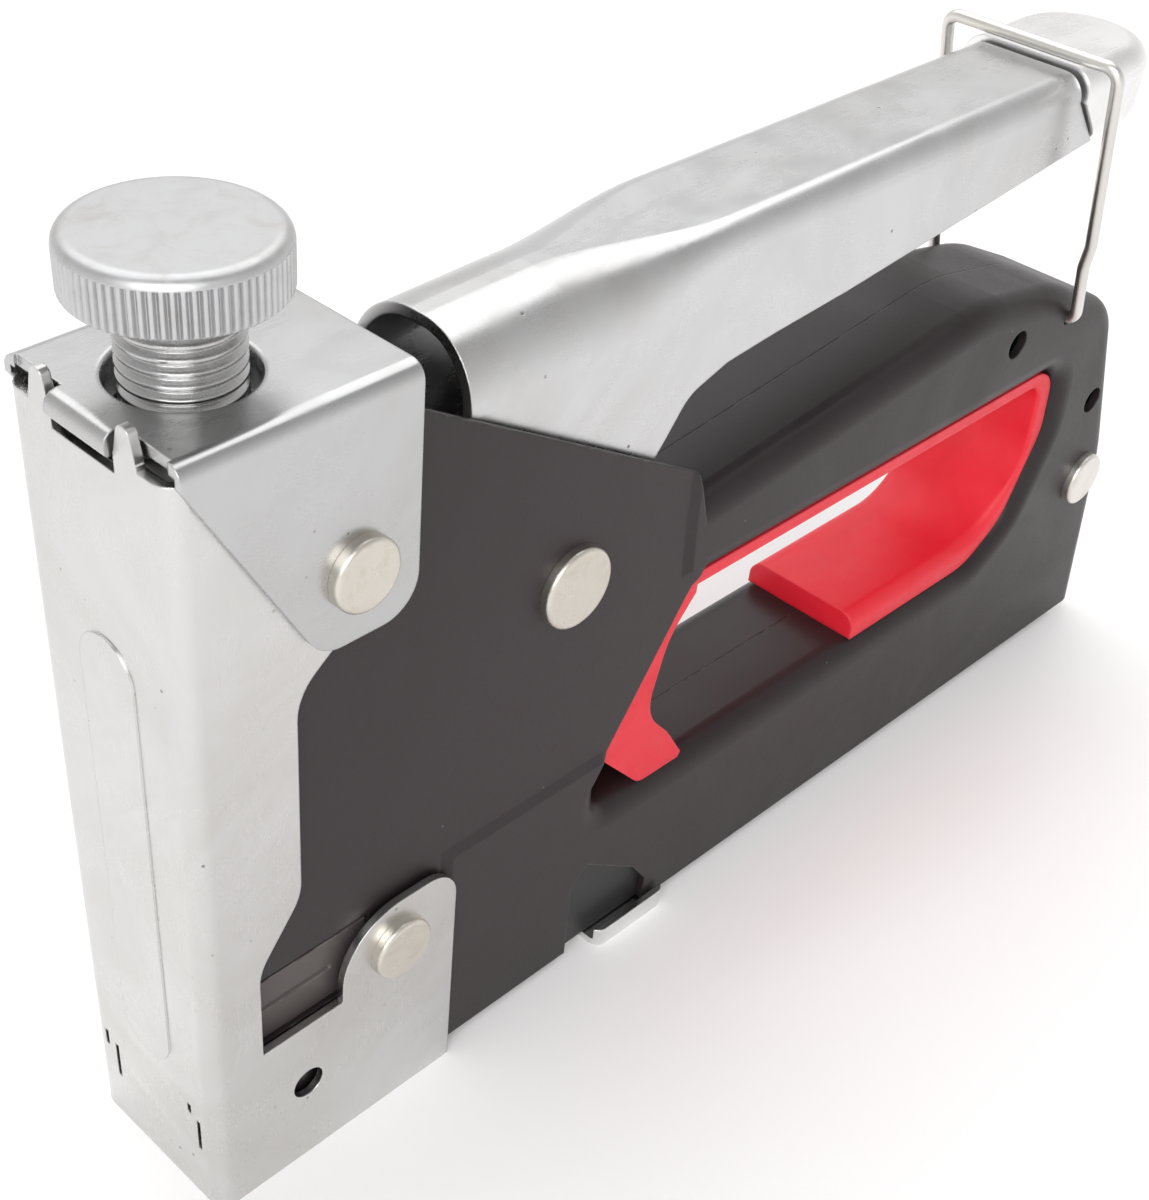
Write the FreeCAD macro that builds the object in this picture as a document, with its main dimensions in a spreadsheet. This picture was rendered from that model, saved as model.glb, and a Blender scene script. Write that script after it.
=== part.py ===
import FreeCAD, Part
import math
import os
import re
import Sketcher

# Hand staple gun, millimetres. While the pieces are drawn, X runs back from the nose face,
# Z up from the sole and Y across; every piece is then placed so that the origin is the
# centre of the sole.

SIZES = {
    # whole tool
    "tool_length": 181.6, "sole_gap": 1.5, "slack": 0.3,
    # pressed body halves
    "half_width": 10.7, "sheet": 1.2, "edge_round": 3.4, "body_front": 3.2,
    "panel_height": 95.0, "panel_knee": 29.0, "panel_rear": 71.8, "panel_corner": 70.6,
    "recess": 0.5, "recess_run": 1.5, "crease_height": 33.6,
    "grip_front": 73.4, "grip_low": 65.6, "grip_high": 71.6, "hump_x": 130.0,
    "shoulder_x": 165.0, "shoulder_z": 60.6, "waist_x": 175.9, "waist_z": 33.0,
    # hand opening
    "hand_front": 61.0, "hand_front_z": 33.5, "hand_floor": 24.7, "hand_roof": 54.3,
    "hand_rear": 154.8, "foot_x": 72.0, "hand_lip_x": 74.0, "hand_nook": 10.5,
    "brow_x": 149.0, "brow_z": 68.0, "tail_trim": 0.82,
    # front cover
    "cover_sheet": 1.0, "cover_gap": 0.1, "cover_top": 100.0, "cover_round": 2.2,
    "cover_rear": 24.5, "cover_throat": 12.1, "window_front": 6.2, "window_floor": 22.9,
    "ear_front": 17.8, "ear_rear": 35.1, "ear_top": 33.6, "nose_proud": 0.9,
    "ridge_half": 4.2, "ridge_low": 19.0,
    "ridge_high": 78.0, "ridge_rise": 0.2, "pin_hole_x": 12.5, "pin_hole_z": 12.9,
    "pin_hole_r": 2.15, "tab_half": 1.5, "tab_y": 6.2, "tab_top": 103.0,
    # top cap
    "cap_gap": 0.05, "cap_sheet": 0.85, "cap_top": 101.7, "cap_plate": 1.2,
    "cap_rear": 26.6, "cap_low": 75.3, "cap_heel": 14.5, "cap_hole_gap": 1.15,
    "cap_collar": 3.0, "lip_half": 4.3, "lip_front": 1.6, "lip_low": 99.3,
    # knob, screw, nut and spring seat
    "screw_x": 9.83, "knob_r": 10.0, "knob_low": 109.6, "knob_high": 114.9,
    "knob_crown": 1.3, "knurl_depth": 0.45, "knurl_count": 72,
    "screw_r": 5.8, "thread_pitch": 1.25, "thread_depth": 0.6, "screw_low": 88.6,
    "nut_low": 91.0, "nut_high": 97.0, "screw_slack": 0.1,
    "seat_r": 7.3, "seat_thick": 2.0,
    # power spring, plunger, driver
    "spring_wire": 1.7, "spring_mean_r": 6.2, "spring_turns": 4,
    "plunger_low": 55.0, "plunger_high": 66.0, "plunger_gap": 0.5, "plunger_rear": 17.2,
    "plunger_front": 2.4, "driver_thick": 1.0, "driver_half": 6.3, "driver_tip": 6.8,
    "driver_lift": 6.5, "bumper_thick": 3.0,
    # handle lever
    "pivot_x": 52.0, "pivot_z": 64.5, "pivot_r": 2.8, "lever_half": 8.75,
    "lever_sheet": 1.2, "lever_front": 36.2, "lever_rear": 140.5, "lever_top": 98.3,
    "lever_nose_top": 98.0, "lever_bend": 52.0, "lever_crest": 76.0, "lever_heel": 89.0,
    "lever_under": 84.1, "lever_arch_round": 7.8, "lever_round": 3.0, "lever_boss_r": 9.0,
    "arm_half": 3.0, "arm_reach": 37.8, "arm_drop": 3.0, "arm_tip_r": 2.2, "lever_pin_r": 1.5,
    # handle end cap
    "end_length": 20.5, "end_proud": 0.6, "seam": 0.7,
    # rivets
    "pivot_head_r": 5.0, "cap_rivet_x": 19.2, "cap_rivet_z": 83.0, "cap_rivet_head_r": 4.0,
    "ear_rivet_x": 26.1, "ear_rivet_z": 26.8, "ear_rivet_head_r": 4.1,
    "rear_rivet_x": 169.0, "rear_rivet_z": 30.0, "rear_rivet_head_r": 4.1,
    "head_thick": 1.4, "rivet_r": 2.0, "rivet_fit": 0.05,
    # small holes in the body halves
    "hole_fore_x": 137.7, "hole_fore_z": 63.7, "hole_aft_x": 165.6, "hole_aft_z": 44.8,
    "small_hole_r": 2.0,
    # locking bail
    "bail_x": 150.0, "bail_z": 63.5, "bail_wire": 1.6, "bail_height": 37.7,
    "bail_lean": 13.8, "bail_splay": 0.6, "bail_bend": 1.8,
    # magazine
    "channel_sheet": 1.0, "channel_top": 21.2, "channel_rear": 176.0, "channel_front": 3.6,
    "nose_plate": 0.9, "nose_block_low": 21.6, "nose_block_high": 31.6,
    "rail_half": 3.9, "rail_sheet": 0.8, "rail_top": 13.0, "rail_rear": 174.0,
    "rail_front": 4.8, "rail_plate": 1.0, "rail_slot_half": 1.2,
    "tab_front": 62.5, "tab_rear": 76.0, "tab_proud": 1.5, "tab_rise": 2.8,
    "pusher_half": 6.2, "pusher_length": 22.0, "pusher_top": 15.5, "pusher_front": 6.4,
    "rod_r": 0.9, "rod_z": 7.0, "pusher_wire": 0.6, "pusher_coil_r": 2.0,
    "pusher_turns": 34.0,
    # notch in the body halves beside the thumb tabs
    "notch_front": 57.5, "notch_rear": 72.8, "notch_high": 16.5, "notch_low": 9.6,
    # hand opening lining
    "lining": 2.2, "lining_half": 9.3, "ramp_front": 114.5, "ramp_rise": 3.9,
}

# sizes that follow from the ones above, so that pieces that fit together keep their clearance
FITTED = {
    "cover_half": "half_width + cover_gap + cover_sheet",
    "cap_half": "cover_half + cap_gap + cap_sheet",
    "cap_hole_r": "screw_r + cap_hole_gap",
    "plunger_half": "half_width - sheet - plunger_gap",
    "rail_plate_half": "half_width - sheet - channel_sheet - slack",
    "tab_reach": "half_width + tab_proud",
    "bail_foot_half": "half_width + bail_wire / 2 + slack",
    "bail_leg_half": "bail_foot_half + bail_splay",
}
NAMES = {**SIZES, **{name: "=" + formula for name, formula in FITTED.items()}}

document = FreeCAD.newDocument("staple_gun")
sheet = document.addObject("Spreadsheet::Sheet", "dims")
for row, (alias, size) in enumerate(NAMES.items(), start=1):
    sheet.set(f"A{row}", alias.replace("_", " "))
    sheet.set(f"B{row}", str(size))
    sheet.setAlias(f"B{row}", alias)
document.recompute()

subparts = []


def cells(formula):
    """The same formula with each size's name pointing at its cell."""
    return re.sub(r"[a-z][a-z_]*", lambda m: "dims." + m[0] if m[0] in NAMES else m[0], formula)


def size_of(formula):
    return float(sheet.evalExpression(cells(formula)))


def bind(item, attribute, formula):
    item.setExpression(attribute, cells(formula))


def place(item, x="0", y="0", z="0"):
    """Put a finished piece, drawn from the nose face, into the tool's own frame."""
    bind(item, "Placement.Base.x", f"{x} - (tool_length - tail_trim - lip_front) / 2")
    bind(item, "Placement.Base.y", y)
    bind(item, "Placement.Base.z", z)
    subparts.append(item)


def new_body(label):
    body = document.addObject("PartDesign::Body", label)
    body.Label = label
    return body


def new_sketch(body, name, role, lift="0"):
    """An empty sketch on one of the body's own planes, raised along the plane's normal."""
    drawing = body.newObject("Sketcher::SketchObject", f"{body.Name}_{name}")
    plane = next(item for item in body.Origin.OriginFeatures if item.Role == role)
    drawing.AttachmentSupport = [(plane, "")]
    drawing.MapMode = "FlatFace"
    bind(drawing, "AttachmentOffset.Base.z", lift)
    return drawing


def pin_point(drawing, geometry, point, across, up):
    """Hold one point of a sketch at two formulas measured from the sketch's origin."""
    for kind, formula in (("DistanceX", across), ("DistanceY", up)):
        rule = Sketcher.Constraint(kind, -1, 1, geometry, point, size_of(formula))
        index = drawing.addConstraint(rule)
        bind(drawing, f"Constraints[{index}]", formula)


def draw_loop(drawing, corners):
    first = drawing.GeometryCount
    count = len(corners)
    spots = [FreeCAD.Vector(size_of(across), size_of(up), 0) for across, up in corners]
    for step in range(count):
        drawing.addGeometry(Part.LineSegment(spots[step], spots[(step + 1) % count]), False)
    for step in range(count):
        joint = Sketcher.Constraint("Coincident", first + step, 2, first + (step + 1) % count, 1)
        drawing.addConstraint(joint)
    for step, (across, up) in enumerate(corners):
        pin_point(drawing, first + step, 1, across, up)


def outline(body, name, role, *loops, lift="0"):
    drawing = new_sketch(body, name, role, lift)
    for corners in loops:
        draw_loop(drawing, corners)
    return drawing


def box_loop(low_across, high_across, low_up, high_up):
    return [(low_across, low_up), (high_across, low_up), (high_across, high_up), (low_across, high_up)]


def circles(body, name, role, spots, lift="0"):
    """Circles given as (across, up, radius) formulas."""
    drawing = new_sketch(body, name, role, lift)
    for across, up, radius in spots:
        centre = FreeCAD.Vector(size_of(across), size_of(up), 0)
        ring = Part.Circle(centre, FreeCAD.Vector(0, 0, 1), size_of(radius))
        index = drawing.addGeometry(ring, False)
        pin_point(drawing, index, 3, across, up)
        rule = drawing.addConstraint(Sketcher.Constraint("Radius", index, size_of(radius)))
        bind(drawing, f"Constraints[{rule}]", radius)
    return drawing


def volume_of(body):
    return body.Shape.Volume if not body.Shape.isNull() else 0.0


def settle(body, feature, grows):
    """Recompute, and make sure that the feature really added or removed material."""
    before = volume_of(body)
    document.recompute()
    change = volume_of(body) - before
    if not (change > 0 if grows else change < 0):
        raise RuntimeError(f"{feature.Name} changed the volume by {change:.3f}")
    return feature


def extrude(body, kind, profile, length, symmetric, reverse):
    feature = body.newObject(f"PartDesign::{kind}", f"{profile.Name}_{kind.lower()}")
    feature.Profile = profile
    feature.Type = "Length"
    bind(feature, "Length", length)
    feature.SideType = "Symmetric" if symmetric else "One side"
    feature.Reversed = reverse
    return settle(body, feature, kind == "Pad")


def pad(body, profile, length, symmetric=False, reverse=False):
    return extrude(body, "Pad", profile, length, symmetric, reverse)


def pocket(body, profile, length, symmetric=False, reverse=False):
    return extrude(body, "Pocket", profile, length, symmetric, reverse)


def turn(body, kind, profile, axis):
    """A full Revolution or Groove of a sketch about one of the sketch's axes."""
    feature = body.newObject(f"PartDesign::{kind}", f"{profile.Name}_{kind.lower()}")
    feature.Profile = profile
    feature.ReferenceAxis = (profile, [axis])
    feature.Angle = 360
    return settle(body, feature, kind == "Revolution")


def edges_where(shape, wanted):
    return [f"Edge{n}" for n, edge in enumerate(shape.Edges, start=1) if wanted(edge)]


def ease(body, radius, wanted, name, kind="Fillet"):
    """Round or bevel the edges that the test picks."""
    feature = body.newObject(f"PartDesign::{kind}", f"{body.Name}_{name}")
    tip = feature.BaseFeature
    names = edges_where(tip.Shape, wanted)
    if not names:
        raise RuntimeError(f"{feature.Name} finds no edge")
    feature.Base = (tip, names)
    bind(feature, "Radius" if kind == "Fillet" else "Size", radius)
    document.recompute()
    return feature


def straight(edge, axis):
    """True for a straight edge along one axis, 0 to 2."""
    first, last = edge.Vertexes[0].Point, edge.Vertexes[-1].Point
    apart = last - first
    return edge.Curve.TypeId == "Part::GeomLine" and abs(abs(apart[axis]) - apart.Length) < 1e-6


def upright_at(axis, *spots):
    """Edges along one axis that pass through any of the given pairs of formulas."""
    others = [n for n in range(3) if n != axis]
    places = [(size_of(first), size_of(second)) for first, second in spots]

    def wanted(edge):
        if not straight(edge, axis):
            return False
        point = edge.Vertexes[0].Point
        return any(math.hypot(point[others[0]] - a, point[others[1]] - b) < 1e-4 for a, b in places)
    return wanted


def on_level(axis, formula, *more):
    """Edges that lie wholly at one coordinate, and pass every further test of their middle."""
    level = size_of(formula)

    def wanted(edge):
        box = edge.BoundBox
        low = (box.XMin, box.YMin, box.ZMin)[axis]
        high = (box.XMax, box.YMax, box.ZMax)[axis]
        middle = edge.valueAt((edge.FirstParameter + edge.LastParameter) / 2)
        return abs(low - level) < 1e-4 and abs(high - level) < 1e-4 and all(t(middle) for t in more)
    return wanted


# ---------------------------------------------------------------- body halves
BACK_TOP = ("hand_rear - 1.5", "hand_roof")
BACK_LOW = ("hand_rear", "hand_roof - 11")
HEEL_HIGH = ("hand_rear - 5", "hand_floor + 5")
HEEL_LOW = ("hand_rear - 12.5", "hand_floor")
FOOT_CORNER = ("foot_x - hand_nook", "hand_floor")


def hand_opening():
    """The hand opening's corners, from its front lower corner round by the roof."""
    return [
        ("hand_front", "hand_front_z"), ("hand_lip_x", "hand_roof"), BACK_TOP, BACK_LOW,
        HEEL_HIGH, HEEL_LOW, FOOT_CORNER,
    ]


def round_hand_corners(body):
    """Round the hand opening's rear corners, on the body half or on its lining."""
    ease(body, "5", upright_at(1, BACK_TOP), "hand_top")
    ease(body, "8", upright_at(1, BACK_LOW), "hand_back")
    ease(body, "9", upright_at(1, HEEL_HIGH, HEEL_LOW), "hand_heel")


def body_outline():
    return [
        ("body_front", "sole_gap"), ("body_front", "panel_height"), ("panel_knee", "panel_height"),
        ("panel_rear", "panel_corner"), ("grip_front", "grip_low"), ("hump_x", "grip_high"),
        ("brow_x", "brow_z"), ("shoulder_x", "shoulder_z"), ("waist_x", "waist_z"),
        ("tool_length", "sole_gap"),
    ]


def body_shell():
    """One pressed half: a flat side with a rounded flange round the grip and the hand opening."""
    body = new_body("body_shell_left")
    shape = outline(body, "outline", "XZ_Plane", body_outline(), hand_opening())
    pad(body, shape, "half_width")
    ease(body, "28", upright_at(1, ("hump_x", "grip_high"), ("brow_x", "brow_z")), "hump")
    ease(body, "9", upright_at(1, ("shoulder_x", "shoulder_z")), "shoulder")
    ease(body, "40", upright_at(1, ("waist_x", "waist_z")), "waist")
    ease(body, "2.5", upright_at(1, FOOT_CORNER), "foot_corner")
    round_hand_corners(body)
    outer = on_level(1, "-half_width", lambda p: p.x > size_of("foot_x + 1.6"),
                     lambda p: p.z > size_of("sole_gap + 1"))
    ease(body, "edge_round", outer, "edge_round")
    hollow = body.newObject("PartDesign::Thickness", "body_shell_hollow")
    solid = hollow.BaseFeature
    inside = [n for n, face in enumerate(solid.Shape.Faces, start=1)
              if abs(face.BoundBox.YMin) < 1e-6 and abs(face.BoundBox.YMax) < 1e-6]
    hollow.Base = (solid, [f"Face{n}" for n in inside])
    hollow.Reversed = True
    bind(hollow, "Value", "sheet")
    document.recompute()
    open_up_shell(body)
    place(body)
    return body


def open_up_shell(body):
    """Everything cut out of a pressed half after it has been bent."""
    inner = "half_width - sheet"
    front_end = outline(body, "nose_opening", "XZ_Plane",
                        box_loop("-5", "body_front + 2 * sheet", "-5", "panel_height + 5"))
    pocket(body, front_end, inner, reverse=True)
    top = outline(body, "handle_opening", "XZ_Plane", [
        ("-5", "panel_height - sheet - 0.3"), ("panel_knee - 1", "panel_height - sheet - 0.3"),
        ("panel_rear - 1.6", "panel_corner - 1.6"), ("panel_rear - 0.9", "grip_low - 2"),
        ("grip_front", "grip_low"), ("grip_front", "panel_height + 5"), ("-5", "panel_height + 5")])
    pocket(body, top, inner, reverse=True)
    sole = outline(body, "sole_opening", "XZ_Plane",
                   box_loop("-5", "tool_length + 5", "-5", "sole_gap + sheet + 0.4"))
    pocket(body, sole, inner, reverse=True)
    tail = outline(body, "rail_exit", "XZ_Plane",
                   box_loop("channel_rear - 8", "tool_length + 5", "-5", "channel_top + slack"))
    pocket(body, tail, inner, reverse=True)
    panel = outline(body, "panel", "XZ_Plane", [
        ("-5", "-5"), ("ear_rear + 0.4", "-5"), ("ear_rear + 0.4", "crease_height"),
        ("hand_front - 0.4", "crease_height"), ("hand_front + 3", "hand_front_z - 2"),
        ("hand_lip_x + 1.5", "hand_roof"), ("hand_lip_x - 1", "hand_roof + 2.5"),
        ("grip_front - 1", "grip_low - 0.8"), ("grip_front - 1", "panel_height + 5"),
        ("-5", "panel_height + 5")], lift="half_width")
    sunk = pocket(body, panel, "recess")
    sunk.TaperAngle = -math.degrees(math.atan2(size_of("recess_run"), size_of("recess")))
    document.recompute()
    notch = outline(body, "tab_notch", "XZ_Plane", [
        ("notch_front", "-5"), ("notch_front", "notch_high - 2.5"), ("notch_front + 2.5", "notch_high"),
        ("notch_rear - 3", "notch_low"), ("notch_rear", "notch_low - 4"), ("notch_rear", "-5")])
    pocket(body, notch, "half_width + 1", reverse=True)
    window = outline(body, "window", "XZ_Plane", [
        ("window_front + 1.1", "window_floor - 0.5"), ("ear_rivet_x - 3.2", "window_floor - 0.5"),
        ("ear_rivet_x - 3.2", "ear_top - 0.6"), ("window_front + 1.1", "ear_top - 0.6")])
    pocket(body, window, "half_width + 1", reverse=True)
    holes = circles(body, "holes", "XZ_Plane", [
        ("pivot_x", "pivot_z", "pivot_r + rivet_fit"),
        ("cap_rivet_x", "cap_rivet_z", "rivet_r + rivet_fit"),
        ("ear_rivet_x", "ear_rivet_z", "rivet_r + rivet_fit"),
        ("rear_rivet_x", "rear_rivet_z", "rivet_r + rivet_fit"),
        ("hole_fore_x", "hole_fore_z", "small_hole_r"),
        ("hole_aft_x", "hole_aft_z", "small_hole_r"),
        ("bail_x", "bail_z", "bail_wire / 2 + 3 * rivet_fit")])
    pocket(body, holes, "half_width + 1", reverse=True)


def mirrored(original, label):
    """The other hand of a piece, mirrored through the tool's middle plane."""
    twin = document.addObject("Part::Mirroring", label)
    twin.Label = label
    twin.Source = original
    twin.Normal = (0, 1, 0)
    subparts.append(twin)
    document.recompute()
    return twin


# ---------------------------------------------------------------- chromed nose
def front_cover():
    """The folded cover: a front wall with two sides, and an ear held by the lower rivet."""
    body = new_body("front_cover")
    front, wall = "(-nose_proud)", "(cover_sheet - nose_proud)"
    side = outline(body, "side", "XZ_Plane", [
        (front, "0"), (front, "cover_top"), ("cover_rear", "cover_top"),
        ("cover_rear", "cap_low + 5.5"), ("cover_throat", "cap_low - 4.2"),
        ("cover_throat", "window_floor + 21.5"), ("window_front", "window_floor + 13.5"),
        ("window_front", "window_floor"), ("ear_front", "window_floor"),
        ("ear_front", "ear_top"), ("ear_rear", "ear_top"), ("ear_rear", "0")])
    pad(body, side, "2 * cover_half", symmetric=True)
    ease(body, "(ear_rear - ear_front) / 2", upright_at(1, ("ear_front", "ear_top")), "ear_front")
    ease(body, "(ear_rear - ear_front) / 4", upright_at(1, ("ear_rear", "ear_top")), "ear_rear")
    ease(body, "6", upright_at(
        1, ("cover_throat", "cap_low - 4.2"), ("cover_throat", "window_floor + 21.5"),
        ("window_front", "window_floor + 13.5")), "throat")
    ease(body, "cover_round", upright_at(2, (front, "cover_half"), (front, "-cover_half")), "corners")
    inside = outline(body, "inside", "XY_Plane", box_loop(
        wall, "ear_rear + 5", "-(cover_half - cover_sheet)", "cover_half - cover_sheet"))
    pocket(body, inside, "2 * cover_top + 20", symmetric=True)
    ease(body, "cover_round - cover_sheet", upright_at(
        2, (wall, "cover_half - cover_sheet"), (wall, "-(cover_half - cover_sheet)")), "inner_corners")
    ridge = outline(body, "ridge", "YZ_Plane", box_loop(
        "-ridge_half", "ridge_half", "ridge_low", "ridge_high"), lift=f"{wall} - cover_sheet / 2")
    pad(body, ridge, "ridge_rise + cover_sheet / 2", reverse=True)
    ease(body, "ridge_half - 0.05", lambda edge: straight(edge, 0) and edge.Length < 1
         and abs(abs(edge.Vertexes[0].Y) - size_of("ridge_half")) < 1e-4, "ridge_ends")
    crown = outline(body, "crown", "YZ_Plane",
                    box_loop("-lip_half - 0.3", "lip_half + 0.3", "cover_top - 2.2", "cover_top + 5"),
                    [("tab_y + tab_half + 0.1", "cover_top - 0.6"), ("cover_half + 2", "cover_top - 0.6"),
                     ("cover_half + 2", "cover_top + 5"), ("tab_y + tab_half + 0.1", "cover_top + 5")],
                    [("-tab_y - tab_half - 0.1", "cover_top - 0.6"), ("-cover_half - 2", "cover_top - 0.6"),
                     ("-cover_half - 2", "cover_top + 5"), ("-tab_y - tab_half - 0.1", "cover_top + 5")])
    pocket(body, crown, "2 * (cover_sheet + nose_proud)", symmetric=True)
    tabs = outline(body, "tabs", "YZ_Plane", *[
        [(f"{sign} * (tab_y - tab_half)", "cover_top - 2"), (f"{sign} * (tab_y - tab_half)", "cover_top"),
         (f"{sign} * (tab_y - tab_half / 2)", "tab_top"), (f"{sign} * (tab_y + tab_half / 2)", "tab_top"),
         (f"{sign} * (tab_y + tab_half)", "cover_top"), (f"{sign} * (tab_y + tab_half)", "cover_top - 2")]
        for sign in ("1", "-1")], lift=front)
    pad(body, tabs, "cover_sheet")
    ease(body, "tab_half / 2", lambda edge: straight(edge, 0)
         and abs(edge.Vertexes[0].Z - size_of("tab_top")) < 1e-4, "tab_ends")
    slits = outline(body, "slits", "YZ_Plane", *[
        box_loop(f"{across} - 0.35", f"{across} + 0.35", low, high)
        for across, low, high in (("9.1", "11.7", "14.3"), ("7.2", "7.5", "13.2"),
                                  ("-6.9", "14.1", "15.7"), ("-8.5", "8.9", "14"))])
    pocket(body, slits, "4 * cover_sheet", symmetric=True)
    holes = circles(body, "holes", "XZ_Plane", [
        ("pin_hole_x", "pin_hole_z", "pin_hole_r"),
        ("cap_rivet_x", "cap_rivet_z", "rivet_r + rivet_fit"),
        ("ear_rivet_x", "ear_rivet_z", "rivet_r + rivet_fit")])
    pocket(body, holes, "4 * cover_half", symmetric=True)
    place(body)
    return body


def top_cap():
    """The saddle over the head of the tool, drilled for the tension screw."""
    body = new_body("top_cap")
    side = outline(body, "side", "XZ_Plane", [
        ("0", "cap_top"), ("cap_rear", "cap_top"), ("cap_rear", "cap_low"), ("cap_heel", "cap_low"),
        ("0", "cap_top - 2.2")])
    pad(body, side, "2 * cap_half", symmetric=True)
    ease(body, "4.5", upright_at(1, ("cap_rear", "cap_low"), ("cap_heel", "cap_low")), "flap")
    ease(body, "cap_sheet + 0.9", lambda edge: straight(edge, 0)
         and abs(edge.Vertexes[0].Z - size_of("cap_top")) < 1e-4, "shoulders")
    inside = outline(body, "inside", "YZ_Plane", box_loop(
        "-(cap_half - cap_sheet)", "cap_half - cap_sheet", "0", "cap_top - cap_plate"))
    pocket(body, inside, "4 * cap_rear", symmetric=True)
    front = outline(body, "front_edge", "XY_Plane",
                    box_loop("-1", "cover_sheet - nose_proud + slack", "lip_half",
                             "cap_half - cap_sheet - 0.8"),
                    box_loop("-1", "cover_sheet - nose_proud + slack",
                             "-(cap_half - cap_sheet - 0.8)", "-lip_half"),
                    lift="cap_top")
    pocket(body, front, "cap_plate + 0.2")
    lip = outline(body, "lip", "XZ_Plane", [
        ("0.5", "cap_top"), ("-lip_front", "cap_top"), ("-lip_front", "lip_low"),
        ("-0.05", "lip_low"), ("-0.05", "cap_top - cap_plate"), ("0.5", "cap_top - cap_plate")])
    pad(body, lip, "2 * lip_half", symmetric=True)
    ease(body, "1.4", on_level(0, "-lip_front", lambda p: p.z > size_of("cap_top") - 0.1), "lip_roll")
    ease(body, "0.6", on_level(0, "-lip_front", lambda p: p.z < size_of("lip_low") + 0.1), "lip_foot")
    hole = circles(body, "screw_hole", "XY_Plane", [("screw_x", "0", "cap_hole_r")], lift="cap_top")
    pocket(body, hole, "cap_plate + 0.5")
    collar = circles(body, "collar", "XY_Plane",
                     [("screw_x", "0", "cap_hole_r"), ("screw_x", "0", "cap_hole_r + 0.8")],
                     lift="cap_top - cap_plate - cap_collar")
    pad(body, collar, "cap_collar + cap_plate / 2")
    rivets = circles(body, "rivet_hole", "XZ_Plane",
                     [("cap_rivet_x", "cap_rivet_z", "rivet_r + rivet_fit")])
    pocket(body, rivets, "4 * cap_half", symmetric=True)
    rim = on_level(2, "cap_top", lambda p: math.hypot(p.x - size_of("screw_x"), p.y)
                   < size_of("cap_hole_r") + 0.1)
    ease(body, "0.5", rim, "hole_rim")
    place(body)
    return body


# ---------------------------------------------------------------- tension screw
def ring_body(label, *steps):
    """A turned piece: its profile is given as (radius, height) formulas."""
    body = new_body(label)
    profile = outline(body, "profile", "XZ_Plane", list(steps))
    turn(body, "Revolution", profile, "V_Axis")
    return body


def pattern_round(body, feature, count):
    ring = body.newObject("PartDesign::PolarPattern", f"{body.Name}_round")
    ring.Originals = [feature]
    axis = next(item for item in body.Origin.OriginFeatures if item.Role == "Z_Axis")
    ring.Axis = (axis, [""])
    ring.Angle = 360
    bind(ring, "Occurrences", count)
    body.Tip = ring
    document.recompute()
    return ring


def tension_knob():
    """The knurled head of the tension screw."""
    body = ring_body("tension_knob", ("0", "knob_low"), ("knob_r", "knob_low"),
                     ("knob_r", "knob_high"), ("0", "knob_high"))
    ease(body, "knob_crown", on_level(2, "knob_high"), "crown")
    ease(body, "0.4", on_level(2, "knob_low"), "under_edge")
    groove = outline(body, "knurl", "XY_Plane", [
        ("knob_r - knurl_depth", "0"), ("knob_r + 0.1", "-0.36"), ("knob_r + 0.1", "0.36")],
        lift="knob_low - 0.1")
    cut = pocket(body, groove, "knob_high - knob_low - 0.9", reverse=True)
    pattern_round(body, cut, "knurl_count")
    place(body, x="screw_x")
    return body


def tension_screw():
    """The threaded shank: one V-shaped ring for each turn of the thread."""
    body = ring_body("tension_screw", ("0", "screw_low"), ("screw_r", "screw_low"),
                     ("screw_r", "knob_low"), ("0", "knob_low"))
    ease(body, "thread_depth", on_level(2, "screw_low"), "point", kind="Chamfer")
    notch = outline(body, "thread", "XZ_Plane", [
        ("screw_r - thread_depth", "screw_low + 2 * thread_pitch"),
        ("screw_r + 0.1", "screw_low + 2.45 * thread_pitch"),
        ("screw_r + 0.1", "screw_low + 1.55 * thread_pitch")])
    groove = turn(body, "Groove", notch, "V_Axis")
    rings = body.newObject("PartDesign::LinearPattern", "tension_screw_turns")
    rings.Originals = [groove]
    axis = next(item for item in body.Origin.OriginFeatures if item.Role == "Z_Axis")
    rings.Direction = (axis, [""])
    rings.Mode = "Spacing"
    bind(rings, "Offset", "thread_pitch")
    bind(rings, "Occurrences", "floor((knob_low - screw_low) / thread_pitch - 2.5)")
    body.Tip = rings
    document.recompute()
    place(body, x="screw_x")
    return body


def tension_nut():
    """The fixed block under the cap that the tension screw runs in."""
    body = new_body("tension_nut")
    block = outline(body, "block", "XY_Plane", box_loop(
        "screw_x - 7.4", "screw_x + 7.4", "-(half_width - sheet)", "half_width - sheet"), lift="nut_low")
    pad(body, block, "nut_high - nut_low")
    bore = circles(body, "bore", "XY_Plane", [("screw_x", "0", "screw_r + screw_slack")],
                   lift="nut_high")
    pocket(body, bore, "nut_high - nut_low + 1")
    place(body)
    return body


def spring_seat():
    """The cup that the screw's point presses down on the power spring."""
    top = "(screw_low - rivet_fit)"
    body = ring_body("spring_seat", ("0", f"{top} - seat_thick"),
                     ("seat_r - 3.2", f"{top} - seat_thick"), ("seat_r - 3.2", f"{top} - seat_thick - 1"),
                     ("seat_r - 2.2", f"{top} - seat_thick - 1"), ("seat_r - 2.2", f"{top} - seat_thick"),
                     ("seat_r", f"{top} - seat_thick"), ("seat_r", top), ("0", top))
    place(body, x="screw_x")
    return body


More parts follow.
